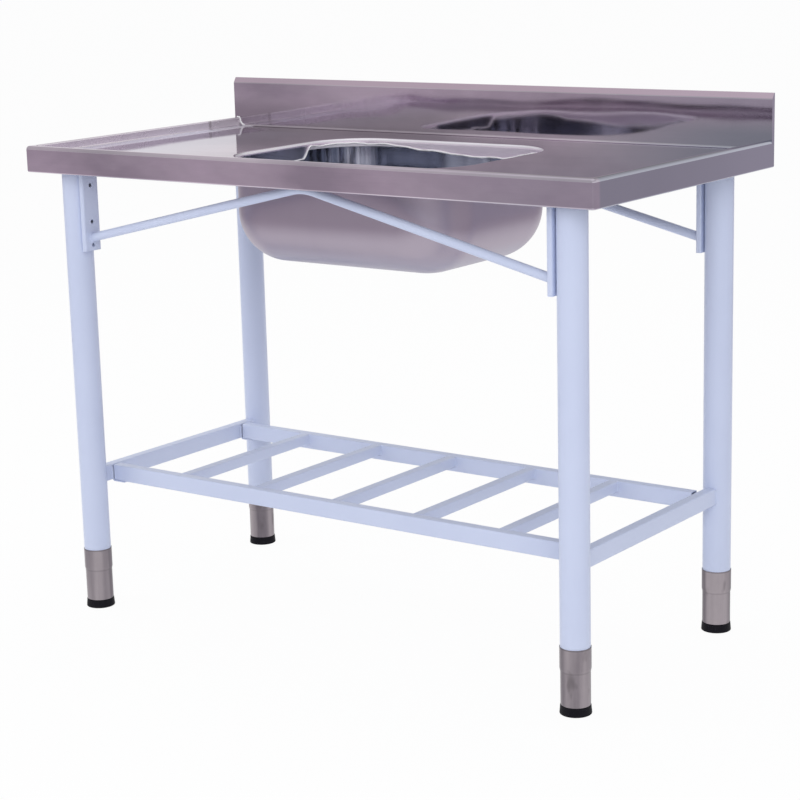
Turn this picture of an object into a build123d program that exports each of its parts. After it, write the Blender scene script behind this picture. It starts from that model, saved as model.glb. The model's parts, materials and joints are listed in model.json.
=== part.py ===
"""Commercial kitchen sink: a folded steel worktop with one bowl, on a painted stand with a slatted shelf.

Millimetres, +Z up. The origin is on the floor below the middle of the worktop, and the front faces -Y.
"""

import os

from build123d import *

# Worktop
WORKTOP_LENGTH = 1200.0
WORKTOP_DEPTH = 600.0
RIM_HEIGHT = 876.0
RIM_WIDTH = 13.0
RIM_CREST_RADIUS = 6.0
RIM_INNER_RADIUS = 2.5
DECK_DROP = 17.0
DECK_BEND_RADIUS = 4.0
DECK_CORNER_RADIUS = 10.0
APRON_HEIGHT = 47.5
APRON_CORNER_RADIUS = 6.5
APRON_FOOT_RADIUS = 3.0
APRON_LIP_WIDTH = 14.0
SHEET = 1.2

# Upstand along the back
UPSTAND_RISE = 80.0
UPSTAND_THICKNESS = 9.0
UPSTAND_BEND_HEIGHT = 10.0
UPSTAND_BEND_RADIUS = 4.0
UPSTAND_CREST_WIDTH = 2.5
UPSTAND_CREST_RADIUS = 1.2

# Bowl
BOWL_LENGTH = 488.0
BOWL_WIDTH = 378.0
BOWL_DEPTH = 189.0
BOWL_X = -4.0
BOWL_Y = 6.0
BOWL_CORNER_RADIUS = 99.0
BOWL_FLOOR_RADIUS = 91.0
BOWL_WALL = 1.0
BOWL_LIP_RADIUS = 7.0
BOWL_COLLAR_DEPTH = 15.0
DRAIN_DIAMETER = 89.0
DRAIN_SEAT_WIDTH = 12.5
DRAIN_SEAT_DEPTH = 6.0
DRAIN_SEAT_BEND = 2.0

# Channels and ribs under the deck
CHANNEL_WIDTH = 70.0
CHANNEL_HEIGHT = 15.0
CHANNEL_FLANGE = 16.0
CHANNEL_WALL = 2.0
CHANNEL_END_GAP = 6.0
RIB_WIDTH = 40.0
RIB_BOWL_GAP = 60.0

# Legs and their plates
LEG_DIAMETER = 50.0
LEG_WALL = 1.5
LEG_SIDE_INSET = 71.5
LEG_FRONT_INSET = 53.5
LEG_REAR_INSET = 62.0
PLATE_WIDTH = 66.0
PLATE_LENGTH = 70.0
PLATE_THICKNESS = 3.0
PLATE_CORNER_RADIUS = 4.0
PLATE_BOLT_SPACING_X = 50.0
PLATE_BOLT_SPACING_Y = 54.0

# Brackets on the legs
BRACKET_LENGTH = 155.5
BRACKET_WIDTH = 40.0
BRACKET_DEPTH = 10.0
BRACKET_WALL = 1.5
BRACKET_CORNER_RADIUS = 3.0
BRACKET_LOW_HOLE = 10.0
BRACKET_MIDDLE_HOLE = 53.0
BRACKET_HIGH_HOLE = 36.0
ACCESS_HOLE_DIAMETER = 7.5

# Braces
BRACE_DIAMETER = 16.0
BRACE_WALL = 1.2
BRACE_END_RISE = 24.2
BRACE_APEX_DROP = 3.5
BRACE_BEND_RADIUS = 100.0

# Shelf and side rails
SHELF_HEIGHT = 268.0
RAIL_HEIGHT = 30.0
RAIL_WIDTH = 20.0
RAIL_WALL = 1.2
RAIL_CORNER_RADIUS = 2.5
SHELF_FRONT_GAP = 15.5
SHELF_REAR_GAP = 22.0
SLAT_WIDTH = 20.0
SLAT_HEIGHT = 20.0
SLAT_COUNT = 5
SLAT_OFFSET = 2.5
SUPPORT_THICKNESS = 2.0
SUPPORT_BEND_RADIUS = 3.0
SUPPORT_REACH = 30.0
SUPPORT_HEIGHT = 28.0
SUPPORT_SCREW_INSET = 12.0

# Feet
FOOT_HEIGHT = 15.5
FOOT_TOP_DIAMETER = 50.6
FOOT_BASE_DIAMETER = 53.4
FOOT_EDGE_RADIUS = 1.2
FOOT_SOCKET_DEPTH = 11.0
FOOT_TRAVEL = 24.5
STEM_DIAMETER = 12.0
STEM_ENGAGEMENT = 20.0
STEM_CHAMFER = 1.0
INSERT_HEIGHT = 25.0
SLEEVE_HEIGHT = 98.0
SLEEVE_SOCKET_DEPTH = 36.0
SLEEVE_TAPER_HEIGHT = 6.0
SLEEVE_NECK_DIAMETER = 49.6
SLEEVE_WALL = 0.9

# Fasteners
PLATE_BOLT_DIAMETER = 6.0
PLATE_BOLT_ACROSS_FLATS = 10.0
PLATE_BOLT_HEAD = 4.0
PLATE_NUT_HEIGHT = 5.0
PLATE_BOLT_TAIL = 1.5
SCREW_DIAMETER = 4.2
SCREW_HEAD_DIAMETER = 7.0
SCREW_HEAD_HEIGHT = 2.5
SCREW_TAIL = 6.0

# Clearances
FOOT_GAP = 0.3
SHELF_END_CLEARANCE = 0.5
RUNNING_CLEARANCE = 0.05
SEAT_CLEARANCE = 0.1
BOLT_CLEARANCE = 0.25
WELD_GAP = 0.2

# Worktop levels and places
deck_top = RIM_HEIGHT - DECK_DROP
deck_under = deck_top - SHEET
apron_bottom = RIM_HEIGHT - APRON_HEIGHT
upstand_top = RIM_HEIGHT + UPSTAND_RISE
front_face = -WORKTOP_DEPTH / 2
back_face = WORKTOP_DEPTH / 2
upstand_face = back_face - UPSTAND_THICKNESS
upstand_foot = RIM_HEIGHT - APRON_HEIGHT / 2
upstand_bend = upstand_top - UPSTAND_BEND_HEIGHT
upstand_crest = back_face - UPSTAND_CREST_WIDTH
tray_length = WORKTOP_LENGTH - 2 * RIM_WIDTH
tray_depth = WORKTOP_DEPTH - RIM_WIDTH - UPSTAND_THICKNESS
tray_y = (RIM_WIDTH - UPSTAND_THICKNESS) / 2

# Bowl levels and places
bowl_floor = deck_top - BOWL_DEPTH
bowl_joint = deck_top - BOWL_COLLAR_DEPTH
collar_reach = BOWL_WIDTH / 2 + BOWL_LIP_RADIUS
drain_seat_floor = bowl_floor - DRAIN_SEAT_DEPTH
drain_seat_radius = DRAIN_DIAMETER / 2 + DRAIN_SEAT_WIDTH

# Leg levels and places
channel_bottom = deck_under - CHANNEL_HEIGHT
channel_length = tray_depth - 2 * CHANNEL_END_GAP
channel_plane = Plane.XZ.offset(tray_depth / 2 - tray_y - CHANNEL_END_GAP)
leg_radius = LEG_DIAMETER / 2
leg_top = channel_bottom - PLATE_THICKNESS
leg_x = WORKTOP_LENGTH / 2 - LEG_SIDE_INSET
leg_front_y = front_face + LEG_FRONT_INSET
leg_rear_y = back_face - LEG_REAR_INSET
bolt_hole_radius = PLATE_BOLT_DIAMETER / 2 + BOLT_CLEARANCE
SIDES = {"left": -1, "right": 1}
LEG_ROWS = {"front": leg_front_y, "rear": leg_rear_y}
LEG_PLACES = {
    "front_left": (-leg_x, leg_front_y),
    "front_right": (leg_x, leg_front_y),
    "rear_left": (-leg_x, leg_rear_y),
    "rear_right": (leg_x, leg_rear_y),
}

# Bracket and brace levels and places
screw_radius = SCREW_DIAMETER / 2
bracket_bottom = leg_top - BRACKET_LENGTH
bracket_back_x = leg_x - leg_radius - WELD_GAP
bracket_x = bracket_back_x - BRACKET_DEPTH / 2
bracket_face_x = bracket_back_x - BRACKET_DEPTH
screw_seat_x = bracket_back_x - BRACKET_WALL
bracket_hole_heights = (
    bracket_bottom + BRACKET_LOW_HOLE,
    bracket_bottom + BRACKET_MIDDLE_HOLE,
    leg_top - BRACKET_HIGH_HOLE,
)
brace_end_z = bracket_bottom + BRACE_END_RISE
brace_apex_z = apron_bottom - BRACE_APEX_DROP
brace_overrun_x = bracket_face_x + BRACE_DIAMETER
brace_overrun_z = brace_apex_z - (brace_apex_z - brace_end_z) * brace_overrun_x / bracket_face_x

# Shelf levels and places
shelf_bottom = SHELF_HEIGHT - RAIL_HEIGHT
rail_middle = SHELF_HEIGHT - RAIL_HEIGHT / 2
slat_middle = SHELF_HEIGHT - SLAT_HEIGHT / 2
support_top_z = shelf_bottom
support_back_x = leg_x - RAIL_WIDTH / 2
support_tongue_x = support_back_x - SUPPORT_REACH / 2
support_tongue_z = support_top_z - SUPPORT_THICKNESS / 2
support_flange_x = support_back_x - SUPPORT_THICKNESS / 2
support_flange_z = support_top_z - SUPPORT_THICKNESS + SUPPORT_HEIGHT / 2
shelf_end_x = support_back_x - SUPPORT_THICKNESS - SUPPORT_BEND_RADIUS - SHELF_END_CLEARANCE
shelf_screw_x = support_back_x - SUPPORT_REACH + SUPPORT_SCREW_INSET
shelf_front_y = leg_front_y + leg_radius + SHELF_FRONT_GAP + RAIL_WIDTH / 2
shelf_rear_y = leg_rear_y - leg_radius - SHELF_REAR_GAP - RAIL_WIDTH / 2
slat_front_y = shelf_front_y + RAIL_WIDTH / 2
slat_rear_y = shelf_rear_y - RAIL_WIDTH / 2
slat_pitch = 2 * leg_x / (SLAT_COUNT + 1)
first_slat_x = SLAT_OFFSET - slat_pitch * (SLAT_COUNT - 1) / 2
SHELF_ROWS = {"front": shelf_front_y, "rear": shelf_rear_y}

# Foot levels and places
sleeve_bottom = FOOT_HEIGHT + FOOT_GAP
sleeve_top = sleeve_bottom + SLEEVE_HEIGHT
sleeve_neck_radius = SLEEVE_NECK_DIAMETER / 2
sleeve_bore_radius = sleeve_neck_radius - SLEEVE_WALL
sleeve_socket_radius = leg_radius + SEAT_CLEARANCE
leg_bottom = sleeve_top - SLEEVE_SOCKET_DEPTH
stem_radius = STEM_DIAMETER / 2
stem_bottom = FOOT_HEIGHT - FOOT_SOCKET_DEPTH
stem_top = sleeve_bottom + STEM_ENGAGEMENT + FOOT_TRAVEL


def save(piece, name):
    """Labels a finished piece and writes it as its own file."""
    piece.label = name
    export_step(piece, f"parts/{name}.step")


def tube_section(width, height, wall, corner):
    """Draws a rounded rectangular tube's section in the sketch that is open."""
    RectangleRounded(width, height, corner)
    RectangleRounded(width - 2 * wall, height - 2 * wall, corner - wall, mode=Mode.SUBTRACT)


def upstand_section():
    """Draws the upstand's section, bent back at the top, in the sketch that is open."""
    Polygon(
        (upstand_face, upstand_foot),
        (upstand_face, upstand_bend),
        (upstand_crest, upstand_top),
        (back_face, upstand_top),
        (back_face, upstand_foot),
        align=None,
    )


def hat_section(x, bottom, width):
    """Draws a hat-shaped channel's section, open at the top, in the sketch that is open."""
    stand = (Align.CENTER, Align.MIN)
    with Locations((x, bottom)):
        Rectangle(width, CHANNEL_HEIGHT, align=stand)
    with Locations((x, bottom + CHANNEL_HEIGHT - CHANNEL_WALL)):
        Rectangle(width + 2 * CHANNEL_FLANGE, CHANNEL_WALL, align=stand)
    with Locations((x, bottom + CHANNEL_WALL)):
        Rectangle(width - 2 * CHANNEL_WALL, CHANNEL_HEIGHT - CHANNEL_WALL, align=stand, mode=Mode.SUBTRACT)


def inward(x, y):
    """Gives an upright plane at a place on one side, with its normal towards the middle and its y axis up."""
    side = 1 if x > 0 else -1
    return Plane(origin=(x, y, 0), x_dir=(0, -side, 0), z_dir=(-side, 0, 0))


def upright(x, y):
    """Gives an upright plane through a leg's axis, with its x axis along the worktop and its y axis up."""
    return Plane(origin=(x, y, 0), x_dir=(1, 0, 0), z_dir=(0, -1, 0))


os.makedirs("parts", exist_ok=True)

# Worktop: the space inside the folded sheet comes first, then the sheet around it
with BuildPart() as sheet_hollow:
    with BuildSketch(Plane.XY.offset(apron_bottom + SHEET)) as inside:
        Rectangle(WORKTOP_LENGTH - 2 * SHEET, WORKTOP_DEPTH - 2 * SHEET)
        fillet(inside.vertices().group_by(Axis.Y)[0], APRON_CORNER_RADIUS - SHEET)
    extrude(amount=APRON_HEIGHT - 2 * SHEET)
    top_edges = sheet_hollow.faces().sort_by(Axis.Z)[-1].edges()
    fillet(top_edges.sort_by(Axis.Y)[:-1], RIM_CREST_RADIUS - SHEET)
    foot_edges = sheet_hollow.faces().sort_by(Axis.Z)[0].edges()
    fillet(foot_edges.sort_by(Axis.Y)[:-1], APRON_FOOT_RADIUS - SHEET)
    with BuildSketch(Plane.XY.offset(deck_under)) as tray_outside:
        with Locations((0, tray_y)):
            Rectangle(tray_length + 2 * SHEET, tray_depth + 2 * SHEET)
        fillet(tray_outside.vertices().group_by(Axis.Y)[0], DECK_CORNER_RADIUS + SHEET)
    extrude(amount=DECK_DROP + SHEET, mode=Mode.SUBTRACT)
    deck_edges = sheet_hollow.faces().filter_by_position(Axis.Z, deck_under, deck_under).edges()
    fillet(deck_edges, DECK_BEND_RADIUS + SHEET)
    with BuildSketch(Plane.YZ.offset(SHEET - WORKTOP_LENGTH / 2)):
        upstand_section()
        offset(amount=-SHEET, kind=Kind.INTERSECTION, mode=Mode.REPLACE)
    extrude(amount=WORKTOP_LENGTH - 2 * SHEET)

with BuildPart() as worktop:
    with BuildSketch(Plane.XY.offset(apron_bottom)) as outline:
        Rectangle(WORKTOP_LENGTH, WORKTOP_DEPTH)
        fillet(outline.vertices().group_by(Axis.Y)[0], APRON_CORNER_RADIUS)
    extrude(amount=APRON_HEIGHT)
    top_edges = worktop.faces().sort_by(Axis.Z)[-1].edges()
    fillet(top_edges.sort_by(Axis.Y)[:-1], RIM_CREST_RADIUS)
    foot_edges = worktop.faces().sort_by(Axis.Z)[0].edges()
    fillet(foot_edges.sort_by(Axis.Y)[:-1], APRON_FOOT_RADIUS)
    with BuildSketch(Plane.YZ.offset(-WORKTOP_LENGTH / 2)) as upstand:
        upstand_section()
        fillet(upstand.vertices().group_by(Axis.Y)[-1], UPSTAND_CREST_RADIUS)
        fillet(upstand.vertices().filter_by_position(Axis.Y, upstand_bend, upstand_bend), UPSTAND_BEND_RADIUS)
    extrude(amount=WORKTOP_LENGTH)
    with BuildSketch(Plane.XY.offset(deck_top)) as tray_inside:
        with Locations((0, tray_y)):
            Rectangle(tray_length, tray_depth)
        fillet(tray_inside.vertices().group_by(Axis.Y)[0], DECK_CORNER_RADIUS)
    extrude(amount=DECK_DROP, mode=Mode.SUBTRACT)
    fillet(worktop.faces().filter_by_position(Axis.Z, deck_top, deck_top).edges(), DECK_BEND_RADIUS)
    rim_edges = worktop.edges().filter_by_position(Axis.Z, RIM_HEIGHT, RIM_HEIGHT)
    rim_edges = rim_edges.filter_by_position(Axis.X, -tray_length / 2, tray_length / 2)
    rim_edges = rim_edges.filter_by_position(Axis.Y, tray_y - tray_depth / 2, tray_y)
    fillet(rim_edges, RIM_INNER_RADIUS)
    add(sheet_hollow.part, mode=Mode.SUBTRACT)
    with BuildSketch(Plane.XY.offset(apron_bottom)):
        Rectangle(WORKTOP_LENGTH - 2 * APRON_LIP_WIDTH, WORKTOP_DEPTH - 2 * APRON_LIP_WIDTH)
    extrude(amount=SHEET, mode=Mode.SUBTRACT)
    with BuildSketch(Plane.XY.offset(bowl_joint)):
        with Locations((BOWL_X, BOWL_Y)):
            RectangleRounded(
                BOWL_LENGTH + 2 * SHEET, BOWL_WIDTH + 2 * SHEET, BOWL_CORNER_RADIUS + SHEET
            )
    extrude(amount=deck_under - bowl_joint)
    collar_edges = worktop.edges().filter_by_position(Axis.Z, deck_under, deck_under)
    collar_edges = collar_edges.filter_by_position(Axis.X, BOWL_X - BOWL_LENGTH, BOWL_X + BOWL_LENGTH)
    collar_edges = collar_edges.filter_by_position(Axis.Y, BOWL_Y - collar_reach, BOWL_Y + collar_reach)
    fillet(collar_edges, BOWL_LIP_RADIUS - SHEET)
    with BuildSketch(Plane.XY.offset(bowl_joint)):
        with Locations((BOWL_X, BOWL_Y)):
            RectangleRounded(BOWL_LENGTH, BOWL_WIDTH, BOWL_CORNER_RADIUS)
    extrude(amount=BOWL_COLLAR_DEPTH, mode=Mode.SUBTRACT)
    lip_edges = worktop.edges().filter_by_position(Axis.Z, deck_top, deck_top)
    lip_edges = lip_edges.filter_by_position(Axis.X, BOWL_X - BOWL_LENGTH, BOWL_X + BOWL_LENGTH)
    lip_edges = lip_edges.filter_by_position(Axis.Y, BOWL_Y - collar_reach, BOWL_Y + collar_reach)
    fillet(lip_edges, BOWL_LIP_RADIUS)

save(worktop.part, "worktop")

# Bowl: drawn down from the joint under the deck, with a pressed seat round the drain hole
with BuildPart() as bowl_inside:
    with BuildSketch(Plane.XY.offset(bowl_floor)):
        with Locations((BOWL_X, BOWL_Y)):
            RectangleRounded(BOWL_LENGTH, BOWL_WIDTH, BOWL_CORNER_RADIUS)
    extrude(amount=bowl_joint - bowl_floor)
    fillet(bowl_inside.faces().sort_by(Axis.Z)[0].edges(), BOWL_FLOOR_RADIUS)
    with BuildSketch(Plane.XY.offset(drain_seat_floor)):
        with Locations((BOWL_X, BOWL_Y)):
            Circle(drain_seat_radius)
    extrude(amount=DRAIN_SEAT_DEPTH)
    seat_edges = bowl_inside.edges().filter_by(GeomType.CIRCLE)
    fillet(seat_edges.filter_by_position(Axis.Z, bowl_floor, bowl_floor), DRAIN_SEAT_BEND)

with BuildPart() as bowl:
    with BuildSketch(Plane.XY.offset(bowl_floor - BOWL_WALL)):
        with Locations((BOWL_X, BOWL_Y)):
            RectangleRounded(
                BOWL_LENGTH + 2 * BOWL_WALL, BOWL_WIDTH + 2 * BOWL_WALL, BOWL_CORNER_RADIUS + BOWL_WALL
            )
    extrude(amount=bowl_joint - bowl_floor + BOWL_WALL)
    fillet(bowl.faces().sort_by(Axis.Z)[0].edges(), BOWL_FLOOR_RADIUS + BOWL_WALL)
    with BuildSketch(Plane.XY.offset(drain_seat_floor - BOWL_WALL)):
        with Locations((BOWL_X, BOWL_Y)):
            Circle(drain_seat_radius + BOWL_WALL)
    extrude(amount=DRAIN_SEAT_DEPTH)
    fillet(bowl.faces().sort_by(Axis.Z)[0].edges(), DRAIN_SEAT_BEND)
    add(bowl_inside.part, mode=Mode.SUBTRACT)
    with BuildSketch(Plane.XY.offset(drain_seat_floor - BOWL_WALL)):
        with Locations((BOWL_X, BOWL_Y)):
            Circle(DRAIN_DIAMETER / 2)
    extrude(amount=BOWL_WALL, mode=Mode.SUBTRACT)

save(bowl.part, "bowl")

# Channels that carry the legs and ribs beside the bowl, all hat-shaped and fixed under the deck
for side_name, side in SIDES.items():
    with BuildPart() as leg_channel:
        with BuildSketch(channel_plane):
            hat_section(side * leg_x, channel_bottom, CHANNEL_WIDTH)
        extrude(amount=-channel_length)
        with BuildSketch(Plane.XY.offset(channel_bottom)):
            with Locations(*[(side * leg_x, y) for y in (leg_front_y, leg_rear_y)]):
                with GridLocations(PLATE_BOLT_SPACING_X, PLATE_BOLT_SPACING_Y, 2, 2):
                    Circle(bolt_hole_radius)
        extrude(amount=CHANNEL_WALL, mode=Mode.SUBTRACT)
    save(leg_channel.part, f"leg_channel_{side_name}")

    with BuildPart() as deck_rib:
        with BuildSketch(channel_plane):
            hat_section(BOWL_X + side * (BOWL_LENGTH / 2 + RIB_BOWL_GAP), channel_bottom, RIB_WIDTH)
        extrude(amount=-channel_length)
    save(deck_rib.part, f"deck_rib_{side_name}")

# Legs with their plates and brackets
for place, (x, y) in LEG_PLACES.items():
    side = 1 if x > 0 else -1

    with BuildPart() as leg:
        with BuildSketch(Plane.XY.offset(leg_bottom)):
            with Locations((x, y)):
                Circle(leg_radius)
                Circle(leg_radius - LEG_WALL, mode=Mode.SUBTRACT)
        extrude(amount=leg_top - leg_bottom)
        with BuildSketch(inward(x, y)):
            with Locations(*[(0, z) for z in bracket_hole_heights]):
                Circle(screw_radius + RUNNING_CLEARANCE)
        extrude(amount=leg_radius, mode=Mode.SUBTRACT)
    save(leg.part, f"leg_{place}")

    with BuildPart() as leg_plate:
        with BuildSketch(Plane.XY.offset(leg_top)):
            with Locations((x, y)):
                RectangleRounded(PLATE_WIDTH, PLATE_LENGTH, PLATE_CORNER_RADIUS)
                with GridLocations(PLATE_BOLT_SPACING_X, PLATE_BOLT_SPACING_Y, 2, 2):
                    Circle(bolt_hole_radius, mode=Mode.SUBTRACT)
        extrude(amount=PLATE_THICKNESS)
    save(leg_plate.part, f"leg_plate_{place}")

    with BuildPart() as bracket:
        with BuildSketch(Plane.XY.offset(bracket_bottom)):
            with Locations((side * bracket_x, y)):
                tube_section(BRACKET_DEPTH, BRACKET_WIDTH, BRACKET_WALL, BRACKET_CORNER_RADIUS)
        extrude(amount=BRACKET_LENGTH)
        with BuildSketch(inward(side * bracket_x, y)):
            with Locations(*[(0, z) for z in bracket_hole_heights]):
                Circle(ACCESS_HOLE_DIAMETER / 2)
        extrude(amount=BRACKET_DEPTH / 2, mode=Mode.SUBTRACT)
        with BuildSketch(inward(side * bracket_x, y)):
            with Locations(*[(0, z) for z in bracket_hole_heights]):
                Circle(screw_radius + BOLT_CLEARANCE)
        extrude(amount=-BRACKET_DEPTH / 2, mode=Mode.SUBTRACT)
    save(bracket.part, f"bracket_{place}")

# Braces: each is one tube bent at the middle, cut flush with the brackets at its ends
for row, y in LEG_ROWS.items():
    with BuildPart() as brace:
        with BuildLine(Plane.XZ.offset(-y)) as brace_path:
            FilletPolyline(
                (-brace_overrun_x, brace_overrun_z),
                (0, brace_apex_z),
                (brace_overrun_x, brace_overrun_z),
                radius=BRACE_BEND_RADIUS,
            )
        with BuildSketch(Plane(origin=brace_path.line @ 0, z_dir=brace_path.line % 0)):
            Circle(BRACE_DIAMETER / 2)
            Circle(BRACE_DIAMETER / 2 - BRACE_WALL, mode=Mode.SUBTRACT)
        sweep()
        split(bisect_by=Plane(origin=(bracket_face_x, y, 0), z_dir=(-1, 0, 0)))
        split(bisect_by=Plane(origin=(-bracket_face_x, y, 0), z_dir=(1, 0, 0)))
    save(brace.part, f"brace_{row}")

# Side rails, coped round the legs at both ends
for side_name, side in SIDES.items():
    with BuildPart() as side_rail:
        with BuildSketch(Plane.XZ.offset(-leg_front_y)):
            with Locations((side * leg_x, rail_middle)):
                tube_section(RAIL_WIDTH, RAIL_HEIGHT, RAIL_WALL, RAIL_CORNER_RADIUS)
        extrude(amount=leg_front_y - leg_rear_y)
        with BuildSketch(Plane.XY.offset(shelf_bottom)):
            with Locations(*[(side * leg_x, y) for y in LEG_ROWS.values()]):
                Circle(leg_radius + WELD_GAP)
        extrude(amount=RAIL_HEIGHT, mode=Mode.SUBTRACT)
    save(side_rail.part, f"side_rail_{side_name}")

# Shelf rails and the supports they rest on
for row, y in SHELF_ROWS.items():
    with BuildPart() as shelf_rail:
        with BuildSketch(Plane.YZ.offset(-shelf_end_x)):
            with Locations((y, rail_middle)):
                tube_section(RAIL_WIDTH, RAIL_HEIGHT, RAIL_WALL, RAIL_CORNER_RADIUS)
        extrude(amount=2 * shelf_end_x)
        with BuildSketch(Plane.XY.offset(shelf_bottom)):
            with Locations((-shelf_screw_x, y), (shelf_screw_x, y)):
                Circle(screw_radius + RUNNING_CLEARANCE)
        extrude(amount=RAIL_WALL, mode=Mode.SUBTRACT)
    save(shelf_rail.part, f"shelf_{row}_rail")

    for side_name, side in SIDES.items():
        with BuildPart() as shelf_support:
            with BuildSketch(Plane.XZ.offset(RAIL_WIDTH / 2 - y)) as angle:
                with Locations((side * support_tongue_x, support_tongue_z)):
                    Rectangle(SUPPORT_REACH, SUPPORT_THICKNESS)
                with Locations((side * support_flange_x, support_flange_z)):
                    Rectangle(SUPPORT_THICKNESS, SUPPORT_HEIGHT)
                inner = (side * (support_back_x - SUPPORT_THICKNESS), support_top_z, 0)
                fillet(angle.vertices().sort_by_distance(inner)[0], SUPPORT_BEND_RADIUS)
                outer = (side * support_back_x, support_top_z - SUPPORT_THICKNESS, 0)
                fillet(angle.vertices().sort_by_distance(outer)[0], SUPPORT_BEND_RADIUS + SUPPORT_THICKNESS)
            extrude(amount=-RAIL_WIDTH)
            with BuildSketch(Plane.XY.offset(support_top_z - SUPPORT_THICKNESS)):
                with Locations((side * shelf_screw_x, y)):
                    Circle(screw_radius + BOLT_CLEARANCE)
            extrude(amount=SUPPORT_THICKNESS, mode=Mode.SUBTRACT)
        save(shelf_support.part, f"shelf_support_{row}_{side_name}")

# Shelf slats, butted between the two rails
for number in range(SLAT_COUNT):
    with BuildPart() as shelf_slat:
        with BuildSketch(Plane.XZ.offset(-slat_front_y)):
            with Locations((first_slat_x + number * slat_pitch, slat_middle)):
                tube_section(SLAT_WIDTH, SLAT_HEIGHT, RAIL_WALL, RAIL_CORNER_RADIUS)
        extrude(amount=slat_front_y - slat_rear_y)
    save(shelf_slat.part, f"shelf_slat_{number + 1}")

# Levelling feet: a sleeve on the leg's end, an insert in it, and a stem that carries the base
for place, (x, y) in LEG_PLACES.items():
    leg_axis = Axis((x, y, 0), (0, 0, 1))

    with BuildPart() as foot_sleeve:
        with BuildSketch(upright(x, y)):
            with BuildLine():
                Polyline(
                    (sleeve_bore_radius, sleeve_bottom),
                    (sleeve_neck_radius, sleeve_bottom),
                    (sleeve_neck_radius, leg_bottom - SLEEVE_TAPER_HEIGHT),
                    (sleeve_socket_radius + SLEEVE_WALL, leg_bottom),
                    (sleeve_socket_radius + SLEEVE_WALL, sleeve_top),
                    (sleeve_socket_radius, sleeve_top),
                    (sleeve_socket_radius, leg_bottom),
                    (sleeve_bore_radius, leg_bottom),
                    close=True,
                )
            make_face()
        revolve(axis=leg_axis)
    save(foot_sleeve.part, f"foot_sleeve_{place}")

    with BuildPart() as foot_insert:
        with BuildSketch(Plane.XY.offset(sleeve_bottom)):
            with Locations((x, y)):
                Circle(sleeve_bore_radius - SEAT_CLEARANCE)
                Circle(stem_radius + RUNNING_CLEARANCE, mode=Mode.SUBTRACT)
        extrude(amount=INSERT_HEIGHT)
    save(foot_insert.part, f"foot_insert_{place}")

    with BuildPart() as foot_stem:
        with BuildSketch(Plane.XY.offset(stem_bottom)):
            with Locations((x, y)):
                Circle(stem_radius)
        extrude(amount=stem_top - stem_bottom)
        chamfer(foot_stem.faces().sort_by(Axis.Z)[-1].edges(), STEM_CHAMFER)
    save(foot_stem.part, f"foot_stem_{place}")

    with BuildPart() as foot_base:
        with BuildSketch(upright(x, y)) as foot_profile:
            with BuildLine():
                Polyline(
                    (0, 0),
                    (FOOT_BASE_DIAMETER / 2, 0),
                    (FOOT_TOP_DIAMETER / 2, FOOT_HEIGHT),
                    (stem_radius + RUNNING_CLEARANCE, FOOT_HEIGHT),
                    (stem_radius + RUNNING_CLEARANCE, stem_bottom),
                    (0, stem_bottom),
                    close=True,
                )
            make_face()
            rounded = foot_profile.vertices().filter_by_position(Axis.X, leg_radius, FOOT_BASE_DIAMETER)
            fillet(rounded, FOOT_EDGE_RADIUS)
        revolve(axis=leg_axis)
    save(foot_base.part, f"foot_base_{place}")

# Bolts and nuts that hold the leg plates to the channels
with BuildPart() as leg_plate_bolts:
    with BuildSketch(Plane.XY.offset(leg_top)):
        with Locations(*LEG_PLACES.values()):
            with GridLocations(PLATE_BOLT_SPACING_X, PLATE_BOLT_SPACING_Y, 2, 2):
                RegularPolygon(PLATE_BOLT_ACROSS_FLATS / 2, 6, major_radius=False)
    extrude(amount=-PLATE_BOLT_HEAD)
    with BuildSketch(Plane.XY.offset(leg_top)):
        with Locations(*LEG_PLACES.values()):
            with GridLocations(PLATE_BOLT_SPACING_X, PLATE_BOLT_SPACING_Y, 2, 2):
                Circle(PLATE_BOLT_DIAMETER / 2)
    extrude(amount=PLATE_THICKNESS + CHANNEL_WALL + PLATE_NUT_HEIGHT + PLATE_BOLT_TAIL)

save(leg_plate_bolts.part, "leg_plate_bolts")

with BuildPart() as leg_plate_nuts:
    with BuildSketch(Plane.XY.offset(channel_bottom + CHANNEL_WALL)):
        with Locations(*LEG_PLACES.values()):
            with GridLocations(PLATE_BOLT_SPACING_X, PLATE_BOLT_SPACING_Y, 2, 2):
                RegularPolygon(PLATE_BOLT_ACROSS_FLATS / 2, 6, major_radius=False)
                Circle(PLATE_BOLT_DIAMETER / 2 + RUNNING_CLEARANCE, mode=Mode.SUBTRACT)
    extrude(amount=PLATE_NUT_HEIGHT)

save(leg_plate_nuts.part, "leg_plate_nuts")

# Screws inside the brackets, driven through the access holes into the legs
with BuildPart() as bracket_screws:
    for x, y in LEG_PLACES.values():
        side = 1 if x > 0 else -1
        with BuildSketch(inward(side * screw_seat_x, y)):
            with Locations(*[(0, z) for z in bracket_hole_heights]):
                Circle(SCREW_HEAD_DIAMETER / 2)
        extrude(amount=SCREW_HEAD_HEIGHT)
        with BuildSketch(inward(side * screw_seat_x, y)):
            with Locations(*[(0, z) for z in bracket_hole_heights]):
                Circle(screw_radius)
        extrude(amount=-(BRACKET_WALL + WELD_GAP + LEG_WALL + SCREW_TAIL))

save(bracket_screws.part, "bracket_screws")

# Screws that hold the shelf rails down on their supports
with BuildPart() as shelf_screws:
    shelf_screw_places = [(side * shelf_screw_x, y) for side in SIDES.values() for y in SHELF_ROWS.values()]
    with BuildSketch(Plane.XY.offset(support_top_z - SUPPORT_THICKNESS)):
        with Locations(*shelf_screw_places):
            Circle(SCREW_HEAD_DIAMETER / 2)
    extrude(amount=-SCREW_HEAD_HEIGHT)
    with BuildSketch(Plane.XY.offset(support_top_z - SUPPORT_THICKNESS)):
        with Locations(*shelf_screw_places):
            Circle(screw_radius)
    extrude(amount=SUPPORT_THICKNESS + RAIL_WALL + SCREW_TAIL)

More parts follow.
